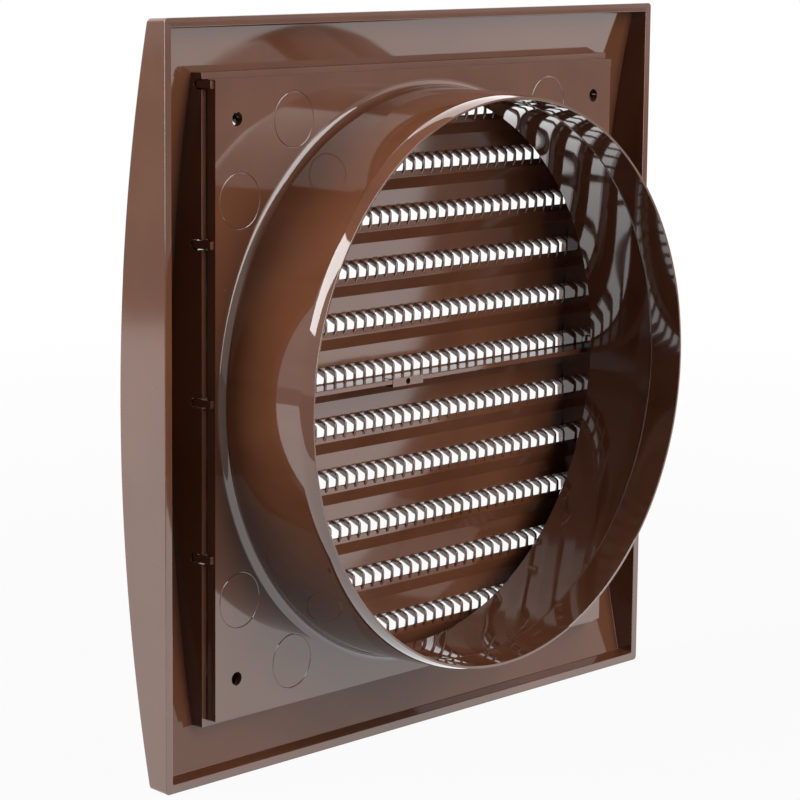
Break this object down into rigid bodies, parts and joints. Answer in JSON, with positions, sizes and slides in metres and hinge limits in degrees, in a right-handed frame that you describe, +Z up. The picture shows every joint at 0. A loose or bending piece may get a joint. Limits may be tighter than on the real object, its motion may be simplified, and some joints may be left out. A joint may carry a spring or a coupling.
{
  "type": "exhaust hood vent",
  "caption": "Square louvred wall vent cover with insect bars, clipped over a wall plate with a round duct spigot.",
  "frame": {"origin": "centre of the square cover in the plane of its rear rim, where it meets the wall", "axes": "+Z up, the louvres face -Y, the duct spigot points to +Y into the wall"},
  "size_m": [0.19, 0.0462, 0.19],
  "materials": {
    "brown_plastic": "glossy moulded"
  },
  "bodies": {
    "wall_unit": {"wall_plate": "brown_plastic", "duct_spigot": "brown_plastic"},
    "cover": {"cover_shell": "brown_plastic", "clip_frame": "brown_plastic", "louvre_blade_01": "brown_plastic", "louvre_blade_02": "brown_plastic", "louvre_blade_03": "brown_plastic", "louvre_blade_04": "brown_plastic", "louvre_blade_05": "brown_plastic", "louvre_blade_06": "brown_plastic", "louvre_blade_07": "brown_plastic", "louvre_blade_08": "brown_plastic", "louvre_blade_09": "brown_plastic", "louvre_blade_10": "brown_plastic", "louvre_blade_11": "brown_plastic"}
  },
  "joints": [
    {"name": "cover_pull_off", "type": "slide", "parent": "wall_unit", "child": "cover", "axis": [0, -1, 0], "range_m": [0, 0.06]}
  ]
}
